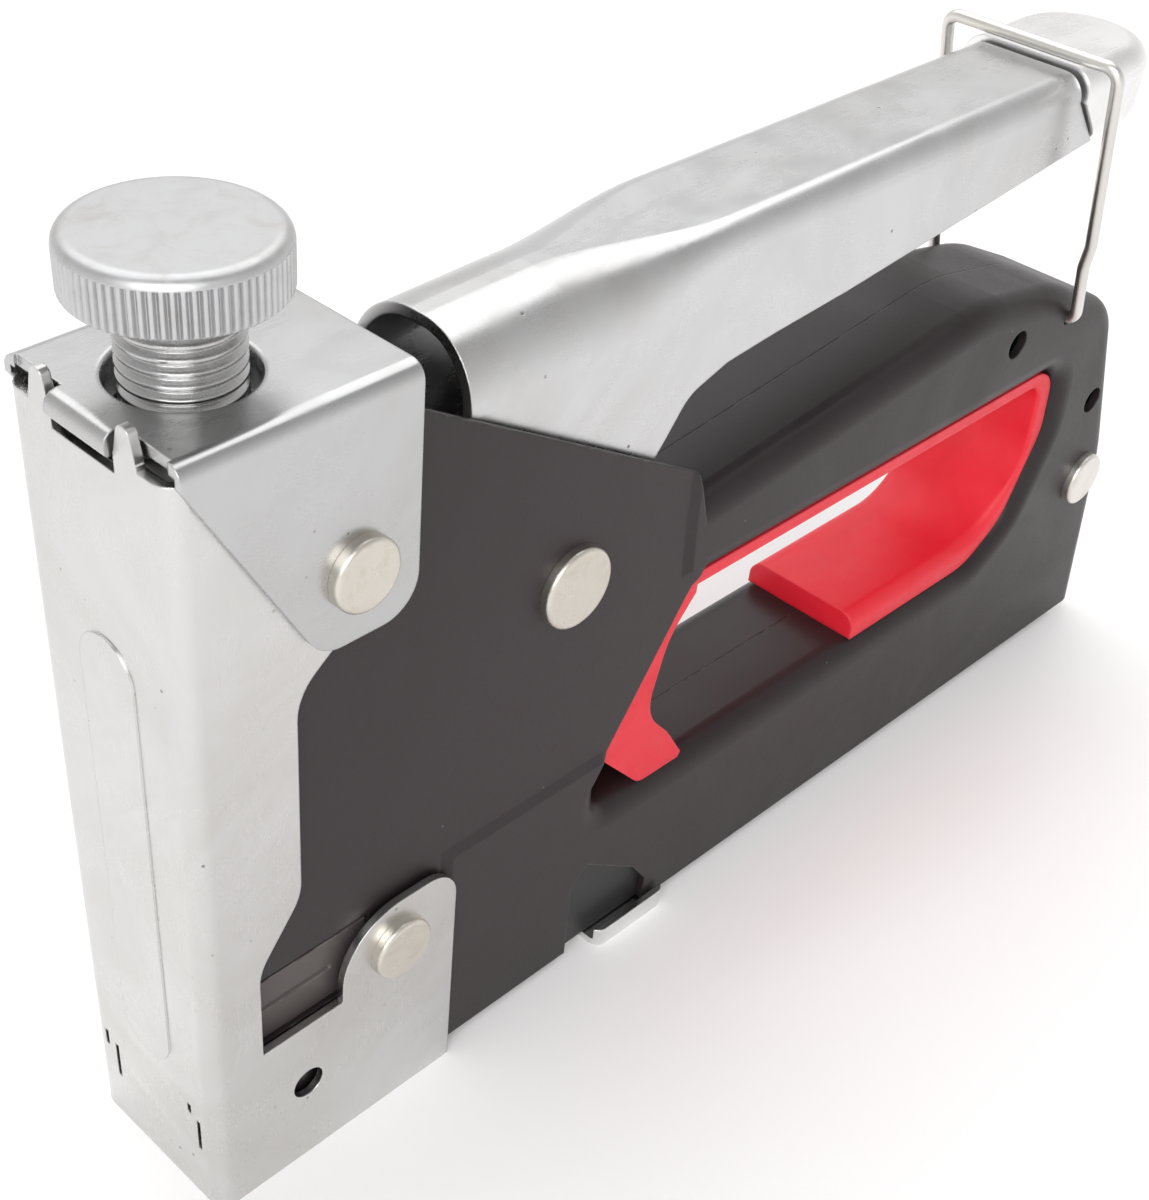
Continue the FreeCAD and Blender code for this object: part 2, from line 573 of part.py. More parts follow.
# ---------------------------------------------------------------- springs
def coil(label, radius, wire, length, turns, turns_a_face=0):
    """A round-wire compression spring that stands on its own origin, along Z."""
    rise = f"({length} - {wire})"
    spine = document.addObject("Part::Helix", f"{label}_spine")
    bind(spine, "Radius", radius)
    bind(spine, "Pitch", f"{rise} / {turns}")
    bind(spine, "Height", rise)
    spine.SegmentLength = turns_a_face
    section = document.addObject("Part::Circle", f"{label}_section")
    bind(section, "Radius", f"{wire} / 2")
    bind(section, "Placement.Base.x", radius)
    slope = math.atan2(size_of(f"{rise} / {turns}"), 2 * math.pi * size_of(radius))
    section.Placement.Rotation = FreeCAD.Rotation(
        FreeCAD.Vector(1, 0, 0), math.degrees(slope) - 90)
    document.recompute()
    spring = document.addObject("Part::Sweep", label)
    spring.Label = label
    spring.Sections = [section]
    spring.Spine = (spine, [f"Edge{n}" for n in range(1, len(spine.Shape.Edges) + 1)])
    spring.Solid = True
    spring.Frenet = True
    document.recompute()
    return spring


def power_spring():
    """The strong spring between the seat and the plunger."""
    length = "(screw_low - rivet_fit - seat_thick - plunger_high)"
    spring = coil("power_spring", "spring_mean_r", "spring_wire", length, "spring_turns", 1)
    place(spring, x="screw_x", z="plunger_high + spring_wire / 2")


def pusher_spring():
    """The long soft spring round the rod, behind the pusher."""
    length = "(rail_rear - 2 * rail_plate - pusher_front - pusher_length)"
    spring = coil("pusher_spring", "pusher_coil_r", "pusher_wire", length, "pusher_turns")
    spring.Placement.Rotation = FreeCAD.Rotation(FreeCAD.Vector(0, 1, 0), 90)
    place(spring, x="pusher_front + pusher_length + pusher_wire / 2", z="rod_z")


# ---------------------------------------------------------------- plunger and driver
TIP_X = "(pivot_x - arm_reach)"
TIP_Z = "(pivot_z - arm_drop)"


def plunger():
    """The sliding block that the lifting arm raises against the power spring."""
    body = new_body("plunger")
    side = outline(body, "side", "XZ_Plane", [
        ("plunger_front", "plunger_low"), ("plunger_front", "plunger_high"),
        ("plunger_rear", "plunger_high"), ("plunger_rear", "plunger_low")])
    pad(body, side, "2 * plunger_half", symmetric=True)
    ease(body, "0.8", lambda edge: straight(edge, 2)
         and abs(edge.Vertexes[0].X - size_of("plunger_rear")) < 1e-4, "rear_corners")
    slot = outline(body, "arm_slot", "XZ_Plane", box_loop(
        f"{TIP_X} - arm_tip_r - 0.45", "plunger_rear + 2",
        f"{TIP_Z} - arm_tip_r - 0.4", f"{TIP_Z} + arm_tip_r + 0.4"))
    pocket(body, slot, "2 * (arm_half + slack)", symmetric=True)
    stub = circles(body, "stub", "XY_Plane",
                   [("screw_x", "0", "spring_mean_r - spring_wire / 2 - 0.4")], lift="plunger_high - 0.5")
    pad(body, stub, "2.3")
    ease(body, "0.6", on_level(2, "plunger_high + 1.8"), "stub_edge")
    place(body)


def plain_box(label, low, high):
    """A rectangular block between two corners given as formulas."""
    block = document.addObject("Part::Box", label)
    block.Label = label
    for attribute, a, b in zip(("Length", "Width", "Height"), low, high):
        bind(block, attribute, f"{b} - ({a})")
    place(block, *low)
    return block


def driver_blade():
    """The flat blade that drives the staple, fixed to the plunger's front."""
    plain_box("driver_blade", ("plunger_front - driver_thick", "-driver_half", "driver_tip"),
              ("plunger_front", "driver_half", "plunger_high - 1"))


def bumper():
    """The rubber stop that the plunger lands on."""
    top = "(plunger_low - driver_lift - slack)"
    plain_box("plunger_bumper", ("plunger_front + 1", "-(half_width - sheet)", f"{top} - bumper_thick"),
              ("plunger_rear", "half_width - sheet", top))


# ---------------------------------------------------------------- handle
def lever_block(name, corners, half):
    body = new_body(name)
    side = outline(body, "side", "XZ_Plane", corners)
    pad(body, side, f"2 * {half}", symmetric=True)
    return body


def rounded_shoulders(block, label, grow, top_corners):
    """Round a block's long top edges: widely at the front arch, tighter behind the bend."""
    full = size_of("lever_arch_round") + grow
    least = size_of("lever_round") + grow
    start, end = size_of("lever_bend"), size_of("lever_crest")

    def radius_at(x):
        share = min(max((x - start) / (end - start), 0), 1)
        return full + (least - full) * share
    heights = [(size_of(x), size_of(z)) for x, z in top_corners]

    def top_height(x):
        for (x1, z1), (x2, z2) in zip(heights, heights[1:]):
            if x1 - 1e-6 <= x <= x2 + 1e-6:
                return z1 + (z2 - z1) * (x - x1) / (x2 - x1)
        return None
    picked = []
    for number, edge in enumerate(block.Shape.Edges, start=1):
        ends = [vertex.Point for vertex in edge.Vertexes]
        if len(ends) < 2 or abs(ends[0].x - ends[1].x) < 0.01:
            continue
        if all(top_height(p.x) is not None and abs(p.z - top_height(p.x)) < 0.5 for p in ends):
            first, last = edge.valueAt(edge.FirstParameter), edge.valueAt(edge.LastParameter)
            picked.append((number, radius_at(first.x), radius_at(last.x)))
    fillet = document.addObject("Part::Fillet", label)
    fillet.Base = block
    fillet.Edges = picked
    document.recompute()
    return fillet


BEND = ("lever_bend + 18", "lever_under - 3.6")


def handle_lever():
    """The folded lever: an inverted channel whose sides reach down to the pivot."""
    top = [("lever_front + 1", "lever_nose_top"), ("lever_bend", "lever_top + 0.1"),
           ("lever_crest", "lever_top"), ("lever_rear", "lever_top")]
    outer = lever_block("lever_outer", top + [
        ("lever_rear", "lever_top - 3.1"), ("lever_rear + 5.5", "lever_heel"),
        ("lever_crest + 21", "lever_under"), ("lever_crest + 8", "lever_under - 0.9"),
        ("lever_crest", "lever_under - 1.7"), BEND, ("lever_bend + 14.8", "lever_under - 7.9"),
        ("pivot_x + lever_boss_r + 2.6", "pivot_z + lever_boss_r - 1.3"),
        ("pivot_x + lever_boss_r", "pivot_z"), ("pivot_x + 5", "pivot_z - lever_boss_r"),
        ("pivot_x - 5", "pivot_z - lever_boss_r"), ("pivot_x - lever_boss_r", "pivot_z"),
        ("lever_front", "lever_nose_top - 12")], "lever_half")
    ease(outer, "5", upright_at(1, BEND), "under_bend")
    under = [(x, f"{z} - lever_sheet") for x, z in top]
    under[0] = ("lever_front - 9", "lever_nose_top - lever_sheet - 0.3")
    under[-1] = ("lever_rear + 20", "lever_top - lever_sheet")
    core = lever_block("lever_core", under + [("lever_rear + 20", "pivot_z - 30"),
                                              ("lever_front - 9", "pivot_z - 30")],
                       "(lever_half - lever_sheet)")
    skin = rounded_shoulders(outer, "lever_skin", 0, top)
    hollow = rounded_shoulders(core, "lever_hollow", -size_of("lever_sheet"), under)
    channel = document.addObject("Part::Cut", "lever_channel")
    channel.Base, channel.Tool = skin, hollow
    bores = new_body("lever_bores")
    holes = circles(bores, "holes", "XZ_Plane", [
        ("pivot_x", "pivot_z", "pivot_r + rivet_fit"),
        ("pivot_x + 6", "pivot_z + 12", "lever_pin_r")])
    pad(bores, holes, "4 * lever_half", symmetric=True)
    lever = document.addObject("Part::Cut", "handle_lever")
    lever.Label = "handle_lever"
    lever.Base, lever.Tool = channel, bores
    document.recompute()
    place(lever)


def handle_end_cap():
    """The rounded end piece, with a tongue that fills the end of the lever."""
    body = new_body("handle_end_cap")
    rear = "(lever_rear + end_length)"
    side = outline(body, "side", "XZ_Plane", [
        ("lever_rear + seam", "lever_top + end_proud"), (rear, "lever_top + end_proud"),
        (rear, "lever_heel - end_proud"), ("lever_rear + seam + 5.6", "lever_heel - end_proud"),
        ("lever_rear + seam", "lever_top - 3.3")])
    half = "(lever_half + end_proud)"
    pad(body, side, f"2 * {half}", symmetric=True)
    ease(body, f"{half} - 0.3", upright_at(2, (rear, half), (rear, f"-{half}")), "round_end")
    ease(body, "3", lambda edge: any(on_level(2, level)(edge) for level in
                                     ("lever_top + end_proud", "lever_heel - end_proud"))
         and not straight(edge, 1), "soft_edges")
    flank, ceiling = "(lever_half - lever_sheet)", "(lever_top - lever_sheet)"
    tongue = outline(body, "tongue", "YZ_Plane", [
        (f"-{flank}", "lever_heel + 1"), (f"-{flank}", f"{ceiling} - 1.8"),
        (f"-({flank} - 1.8)", ceiling), (f"{flank} - 1.8", ceiling), (flank, f"{ceiling} - 1.8"),
        (flank, "lever_heel + 1")], lift="lever_rear - 12")
    pad(body, tongue, "20")
    place(body)


def lifting_arm():
    """The lever's inner arm, from the pivot forward into the plunger's slot."""
    body = new_body("lifting_arm")
    side = outline(body, "side", "XZ_Plane", [
        (f"{TIP_X} - arm_tip_r", f"{TIP_Z} - arm_tip_r"), (f"{TIP_X} + 0.8", f"{TIP_Z} - arm_tip_r"),
        (f"{TIP_X} + 2.4", f"{TIP_Z} - 1.3"), ("pivot_x - 5", "pivot_z - 6.5"),
        ("pivot_x + 5", "pivot_z - 6.5"),
        ("pivot_x + 7", "pivot_z"), ("pivot_x + 9", "pivot_z + 14.5"), ("pivot_x + 2", "pivot_z + 14.5"),
        ("pivot_x - 7", "pivot_z + 5.5"), (f"{TIP_X} + 5", f"{TIP_Z} + arm_tip_r"),
        (f"{TIP_X} - arm_tip_r", f"{TIP_Z} + arm_tip_r")])
    pad(body, side, "2 * arm_half", symmetric=True)
    ease(body, "arm_tip_r - 0.05", upright_at(
        1, (f"{TIP_X} - arm_tip_r", f"{TIP_Z} - arm_tip_r"),
        (f"{TIP_X} - arm_tip_r", f"{TIP_Z} + arm_tip_r")), "tip")
    holes = circles(body, "holes", "XZ_Plane", [
        ("pivot_x", "pivot_z", "pivot_r + rivet_fit"), ("pivot_x + 6", "pivot_z + 12", "lever_pin_r")])
    pocket(body, holes, "4 * arm_half", symmetric=True)
    place(body)


# ---------------------------------------------------------------- pins and rivets
def lay_across(item, x, z):
    """Turn a piece drawn along Z so that it lies across the tool at (x, z)."""
    item.Placement.Rotation = FreeCAD.Rotation(FreeCAD.Vector(1, 0, 0), 90)
    place(item, x=x, z=z)
    document.recompute()


def rivet(label, x, z, shank, head, reach):
    """One rivet with a flat round head on each side."""
    body = ring_body(label, ("0", f"-({reach} + head_thick)"), (head, f"-({reach} + head_thick)"),
                     (head, f"-({reach})"), (shank, f"-({reach})"), (shank, reach), (head, reach),
                     (head, f"{reach} + head_thick"), ("0", f"{reach} + head_thick"))
    ease(body, "0.55", lambda edge: any(on_level(2, f"{sign} * ({reach} + head_thick)")(edge)
                                        for sign in ("1", "-1")), "head_edges")
    lay_across(body, x, z)


def cross_pin(label, x, z, radius, half):
    body = ring_body(label, ("0", f"-({half})"), (radius, f"-({half})"), (radius, half), ("0", half))
    lay_across(body, x, z)


def sleeve(label, x, z, bore, outer, low, high):
    body = ring_body(label, (bore, low), (outer, low), (outer, high), (bore, high))
    body.Placement.Rotation = FreeCAD.Rotation(FreeCAD.Vector(1, 0, 0), 90)
    return body


def pair_across(label, x, z, bore, outer, low, high):
    """Two equal rings, one each side of the middle plane."""
    rings = []
    for side, (first, last) in (("near", (low, high)), ("far", (f"-({high})", f"-({low})"))):
        rings.append(sleeve(f"{label}_{side}", x, z, bore, outer, first, last))
    group = document.addObject("Part::Compound", label)
    group.Label = label
    group.Links = rings
    place(group, x=x, z=z)
    document.recompute()


def fasteners():
    panel_face = "(half_width - recess)"
    rivet("pivot_rivet", "pivot_x", "pivot_z", "pivot_r", "pivot_head_r", panel_face)
    rivet("cap_rivet", "cap_rivet_x", "cap_rivet_z", "rivet_r", "cap_rivet_head_r", "cap_half")
    rivet("ear_rivet", "ear_rivet_x", "ear_rivet_z", "rivet_r", "ear_rivet_head_r", "cover_half")
    rivet("rear_rivet", "rear_rivet_x", "rear_rivet_z", "rivet_r", "rear_rivet_head_r", "half_width")
    cross_pin("lever_pin", "pivot_x + 6", "pivot_z + 12", "lever_pin_r", "lever_half")
    bore = "(pivot_r + rivet_fit)"
    pair_across("pivot_washers", "pivot_x", "pivot_z", bore, "5",
                "(lever_half + 0.1)", "(half_width - sheet)")
    pair_across("arm_spacers", "pivot_x", "pivot_z", bore, "4.6",
                "arm_half", "(lever_half - lever_sheet)")
    spacer = sleeve("rear_spacer", "rear_rivet_x", "rear_rivet_z", "(rivet_r + rivet_fit)", "3.8",
                    "-(half_width - sheet)", "half_width - sheet")
    place(spacer, x="rear_rivet_x", z="rear_rivet_z")


def locking_bail():
    """The bent wire that holds the lever down: two feet, two stepped legs and a crossbar."""
    foot, leg = size_of("bail_foot_half"), size_of("bail_leg_half")
    high, bend = size_of("bail_height"), size_of("bail_bend")
    root = size_of("half_width - sheet - 0.6")
    half_path = [(root, 0), (foot, 0), (foot, 9), (leg, 12.5), (leg, high)]
    corners = [FreeCAD.Vector(0, -y, z) for y, z in half_path]
    corners += [FreeCAD.Vector(0, y, z) for y, z in reversed(half_path)]
    edges, start = [], corners[0]
    for before, corner, after in zip(corners, corners[1:], corners[2:]):
        into, out = (corner - before).normalize(), (after - corner).normalize()
        half_turn = into.getAngle(out) / 2
        back = bend * math.tan(half_turn)
        first, last = corner - into * back, corner + out * back
        middle = corner + (out - into).normalize() * (bend / math.cos(half_turn) - bend)
        edges += [Part.LineSegment(start, first).toShape(), Part.Arc(first, middle, last).toShape()]
        start = last
    edges.append(Part.LineSegment(start, corners[-1]).toShape())
    ring = Part.makeCircle(size_of("bail_wire / 2"), corners[0], FreeCAD.Vector(0, 1, 0))
    bail = document.addObject("Part::Feature", "locking_bail")
    bail.Label = "locking_bail"
    bail.Shape = Part.Wire(edges).makePipeShell([Part.Wire([ring])], True, True)
    bail.Placement.Rotation = FreeCAD.Rotation(FreeCAD.Vector(0, 1, 0), -size_of("bail_lean"))
    place(bail, x="bail_x", z="bail_z")


# ---------------------------------------------------------------- magazine
def magazine_channel():
    """The fixed channel that the staple rail runs in."""
    body = new_body("magazine_channel")
    half, inner = "(half_width - sheet)", "(half_width - sheet - channel_sheet)"
    section = outline(body, "section", "YZ_Plane", [
        (f"-{half}", "rail_plate + slack"), (f"-{half}", "channel_top"), (half, "channel_top"),
        (half, "rail_plate + slack"), (inner, "rail_plate + slack"),
        (inner, "channel_top - channel_sheet"), (f"-{inner}", "channel_top - channel_sheet"),
        (f"-{inner}", "rail_plate + slack")], lift="channel_front")
    pad(body, section, "channel_rear - channel_front")
    place(body)


def nose_pieces():
    """The steel guide plate behind the driver, and the spacer block between the body halves."""
    half = "(half_width - sheet)"
    plain_box("nose_guide", ("channel_front - nose_plate", f"-{half}", "nose_block_low"),
              ("channel_front", half, "nose_block_high + 8"))
    body = new_body("nose_block")
    side = outline(body, "side", "XZ_Plane", [
        ("channel_front", "nose_block_low"), ("channel_front", "nose_block_high"),
        ("ear_rear - 3", "nose_block_high"), ("ear_rear - 3", "nose_block_low")])
    pad(body, side, f"2 * {half}", symmetric=True)
    score = outline(body, "score", "YZ_Plane", *[
        [(f"{sign} * ({half} + 0.1)", "ear_rivet_z - 0.1"),
         (f"{sign} * ({half} - 0.5)", "ear_rivet_z + 0.4"),
         (f"{sign} * ({half} + 0.1)", "ear_rivet_z + 0.9")]
        for sign in ("1", "-1")], lift="channel_front")
    pocket(body, score, "ear_front - channel_front", reverse=True)
    hole = circles(body, "rivet_hole", "XZ_Plane", [
        ("ear_rivet_x", "ear_rivet_z", "rivet_r + rivet_fit")])
    pocket(body, hole, "4 * cover_half", symmetric=True)
    place(body)


def magazine_rail():
    """The sliding rail: a sole plate with thumb tabs, and a slotted channel that carries staples."""
    body = new_body("magazine_rail")
    plate = outline(body, "plate", "XY_Plane", [
        ("rail_front", "-rail_plate_half"), ("tab_front", "-rail_plate_half"),
        ("tab_front", "-tab_reach"), ("tab_rear", "-tab_reach"), ("tab_rear", "-rail_plate_half"),
        ("rail_rear", "-rail_plate_half"), ("rail_rear", "rail_plate_half"),
        ("tab_rear", "rail_plate_half"), ("tab_rear", "tab_reach"), ("tab_front", "tab_reach"),
        ("tab_front", "rail_plate_half"), ("rail_front", "rail_plate_half")])
    pad(body, plate, "rail_plate")
    lips = outline(body, "lips", "YZ_Plane", *[
        [(f"{sign} * (tab_reach - 1)", "0"), (f"{sign} * tab_reach", "0"),
         (f"{sign} * tab_reach", "tab_rise"), (f"{sign} * (tab_reach - 1)", "tab_rise")]
        for sign in ("1", "-1")], lift="tab_front")
    pad(body, lips, "tab_rear - tab_front")
    walls = outline(body, "walls", "YZ_Plane", *[
        [(f"{sign} * rail_half", "rail_plate / 2"), (f"{sign} * rail_half", "rail_top"),
         (f"{sign} * rail_slot_half", "rail_top"), (f"{sign} * rail_slot_half", "rail_top - rail_sheet"),
         (f"{sign} * (rail_half - rail_sheet)", "rail_top - rail_sheet"),
         (f"{sign} * (rail_half - rail_sheet)", "rail_plate / 2")]
        for sign in ("1", "-1")], lift="rail_front")
    pad(body, walls, "rail_rear - rail_front - rail_plate")
    front = outline(body, "front_wall", "YZ_Plane", box_loop(
        "-rail_half", "rail_half", "rail_plate / 2", "rail_top"), lift="rail_front")
    pad(body, front, "rail_plate")
    rear = outline(body, "rear_wall", "YZ_Plane", box_loop(
        "-rail_plate_half", "rail_plate_half", "rail_plate / 2", "rail_top + 3"),
        lift="rail_rear - 2 * rail_plate")
    pad(body, rear, "2 * rail_plate")
    ease(body, "1.6", upright_at(2, ("tab_front", "tab_reach"), ("tab_rear", "tab_reach"),
                                 ("tab_front", "-tab_reach"), ("tab_rear", "-tab_reach")), "tab_corners")
    place(body)
    rod = document.addObject("Part::Cylinder", "pusher_rod")
    rod.Label = "pusher_rod"
    bind(rod, "Radius", "rod_r")
    bind(rod, "Height", "rail_rear - rail_front - 3 * rail_plate")
    rod.Placement.Rotation = FreeCAD.Rotation(FreeCAD.Vector(0, 1, 0), 90)
    place(rod, x="rail_front + rail_plate", z="rod_z")


def pusher():
    """The saddle that pushes the staples along, with a web down to a block on the rod."""
    body = new_body("pusher")
    inner = "(rail_half + slack + 0.1)"
    saddle = outline(body, "saddle", "YZ_Plane", [
        ("-pusher_half", "rail_plate + 0.6"), ("-pusher_half", "pusher_top"),
        ("pusher_half", "pusher_top"), ("pusher_half", "rail_plate + 0.6"),
        (inner, "rail_plate + 0.6"), (inner, "rail_top + 0.4"), (f"-{inner}", "rail_top + 0.4"),
        (f"-{inner}", "rail_plate + 0.6")], lift="pusher_front")
    pad(body, saddle, "pusher_length")
    hub = outline(body, "hub", "YZ_Plane", [
        ("-(rail_slot_half - slack)", "rail_top + 1"), ("rail_slot_half - slack", "rail_top + 1"),
        ("rail_slot_half - slack", "rail_top - 1.6"), ("rail_half - rail_sheet - 0.4", "rail_top - 1.6"),
        ("rail_half - rail_sheet - 0.4", "rod_z - 3"), ("-(rail_half - rail_sheet - 0.4)", "rod_z - 3"),
        ("-(rail_half - rail_sheet - 0.4)", "rail_top - 1.6"),
        ("-(rail_slot_half - slack)", "rail_top - 1.6")], lift="pusher_front + pusher_length - 8")
    pad(body, hub, "8")
    bore = circles(body, "bore", "YZ_Plane", [("0", "rod_z", "rod_r + 0.1")],
                   lift="pusher_front + pusher_length + 1")
    pocket(body, bore, "12")
    place(body)


# ---------------------------------------------------------------- hand opening lining
def grip_lining():
    """The soft lining of the hand opening: a front web with a foot, a roof strip and a heel pad."""
    strip = new_body("lining_strip")
    heel_top = "(hand_floor + ramp_rise)"
    inner_top = ("hand_rear - 3.7", "hand_roof - lining")
    inner_back = ("hand_rear - 2.4", f"{heel_top} + 10")
    inner_heel = ("hand_rear - 9.6", heel_top)
    rim = outline(strip, "rim", "XZ_Plane", [
        ("ramp_front", "hand_floor"), HEEL_LOW, HEEL_HIGH, BACK_LOW, BACK_TOP,
        ("hand_lip_x", "hand_roof"), ("hand_lip_x - 1", "hand_roof - lining"), inner_top,
        inner_back, inner_heel, ("ramp_front", heel_top)])
    pad(strip, rim, "2 * lining_half", symmetric=True)
    ease(strip, "3.2", upright_at(1, inner_top), "inner_top")
    ease(strip, "12", upright_at(1, inner_back, inner_heel), "inner_heel")
    web = outline(strip, "web", "XZ_Plane", [
        ("hand_lip_x", "hand_roof"), ("hand_front", "hand_front_z"), ("hand_front + 8.3", "hand_floor"),
        ("foot_x + 5", "hand_floor"), ("foot_x + 5.4", "hand_floor + 0.8"),
        ("foot_x + 1.9", "hand_floor + 6.1"), ("foot_x - 3.1", "hand_floor + 11.6"),
        ("foot_x - 0.6", "hand_floor + 22.5"), ("hand_lip_x + 1.4", "hand_roof - lining"),
        ("hand_lip_x + 1.4", "hand_roof")])
    pad(strip, web, "2 * (half_width - recess - slack)", symmetric=True)
    ease(strip, "12", upright_at(1, ("foot_x - 0.6", "hand_floor + 22.5")), "web_bend")
    ease(strip, "7", upright_at(1, ("foot_x - 3.1", "hand_floor + 11.6")), "web_foot")
    ease(strip, "4", upright_at(1, ("foot_x + 1.9", "hand_floor + 6.1")), "foot_top")
    ease(strip, "3", upright_at(1, ("hand_front + 8.3", "hand_floor")), "foot_heel")
    round_hand_corners(strip)
    soften_lining(strip, size_of(heel_top))


def soften_lining(strip, heel_top):
    """Round the lining's inner long edges: widely along the heel pad, less up the thin back."""
    half, full, least, blend = size_of("lining_half"), 2.4, 0.7, 7.0
    rear, roof = size_of("hand_rear - 1"), size_of("hand_roof - lining + 0.1")

    def radius_at(height):
        return full + (least - full) * min(max((height - heel_top) / blend, 0), 1)
    picked = []
    for number, edge in enumerate(strip.Shape.Edges, start=1):
        box = edge.BoundBox
        if abs(abs(box.YMin) - half) > 1e-3 or box.YLength > 1e-3 or box.ZMax > roof:
            continue
        if box.XMax < rear and box.ZMin > heel_top - 1e-3 and box.XMin > size_of("foot_x"):
            first, last = edge.valueAt(edge.FirstParameter), edge.valueAt(edge.LastParameter)
            picked.append((number, radius_at(first.z), radius_at(last.z)))
    lining = document.addObject("Part::Fillet", "grip_lining")
    lining.Label = "grip_lining"
    lining.Base = strip
    lining.Edges = picked
    document.recompute()
    place(lining)


def main():
    shell = body_shell()
    mirrored(shell, "body_shell_right")
    front_cover()
    top_cap()
    tension_knob()
    tension_screw()
    tension_nut()
    spring_seat()
    power_spring()
    plunger()
    driver_blade()
    bumper()
    handle_lever()
    handle_end_cap()
    lifting_arm()
    fasteners()
    locking_bail()
    magazine_channel()
    nose_pieces()
    magazine_rail()
    pusher()
    pusher_spring()
    grip_lining()
    document.recompute()
    failed = [item.Name for item in document.Objects
              if "Invalid" in item.State or "Error" in item.State]
    failed += [item.Label for item in subparts if item.Shape.isNull() or not item.Shape.isValid()]
    if failed:
        raise RuntimeError(f"failed: {failed}")
    os.makedirs("parts", exist_ok=True)
    for item in subparts:
        item.Shape.exportStep(f"parts/{item.Label}.step")
        print(f"{item.Label}: {len(item.Shape.Solids)} solid, {item.Shape.Volume:.1f} mm3")


main()
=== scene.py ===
import math

import bpy
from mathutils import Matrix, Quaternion, Vector


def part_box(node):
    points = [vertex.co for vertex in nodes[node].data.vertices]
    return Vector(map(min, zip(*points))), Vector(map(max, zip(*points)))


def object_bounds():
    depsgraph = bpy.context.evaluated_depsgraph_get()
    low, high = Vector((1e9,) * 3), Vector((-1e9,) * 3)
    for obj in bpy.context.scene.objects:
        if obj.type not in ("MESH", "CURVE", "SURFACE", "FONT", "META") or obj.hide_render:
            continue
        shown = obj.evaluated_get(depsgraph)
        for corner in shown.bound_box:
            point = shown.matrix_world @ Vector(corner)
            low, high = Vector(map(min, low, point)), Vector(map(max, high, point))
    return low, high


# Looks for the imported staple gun. Lengths are in metres. Textures sit in each piece's own
# coordinates, and places on the tool come from the frame.

MM = 0.001

# a wave texture's own spacing at scale 1
WAVE_SPACING = 0.314
# the cosines between the flat and the rounded normal where an edge begins and where it is full
EDGE_BEGINS, EDGE_FULL = 0.995, 0.86
BEVEL_SAMPLES = 6

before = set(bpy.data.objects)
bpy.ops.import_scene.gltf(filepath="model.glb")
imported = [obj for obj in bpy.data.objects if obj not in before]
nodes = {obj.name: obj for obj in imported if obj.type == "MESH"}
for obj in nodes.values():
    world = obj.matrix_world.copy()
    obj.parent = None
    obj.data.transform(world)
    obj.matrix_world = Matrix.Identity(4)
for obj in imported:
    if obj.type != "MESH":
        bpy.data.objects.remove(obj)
size_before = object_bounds()


# ---------------------------------------------------------------- building materials
def set_range(map_range, low, high, to_low, to_high):
    """The two ranges of a Map Range node."""
    for socket, value in (("From Min", low), ("From Max", high),
                          ("To Min", to_low), ("To Max", to_high)):
        map_range.inputs[socket].default_value = value


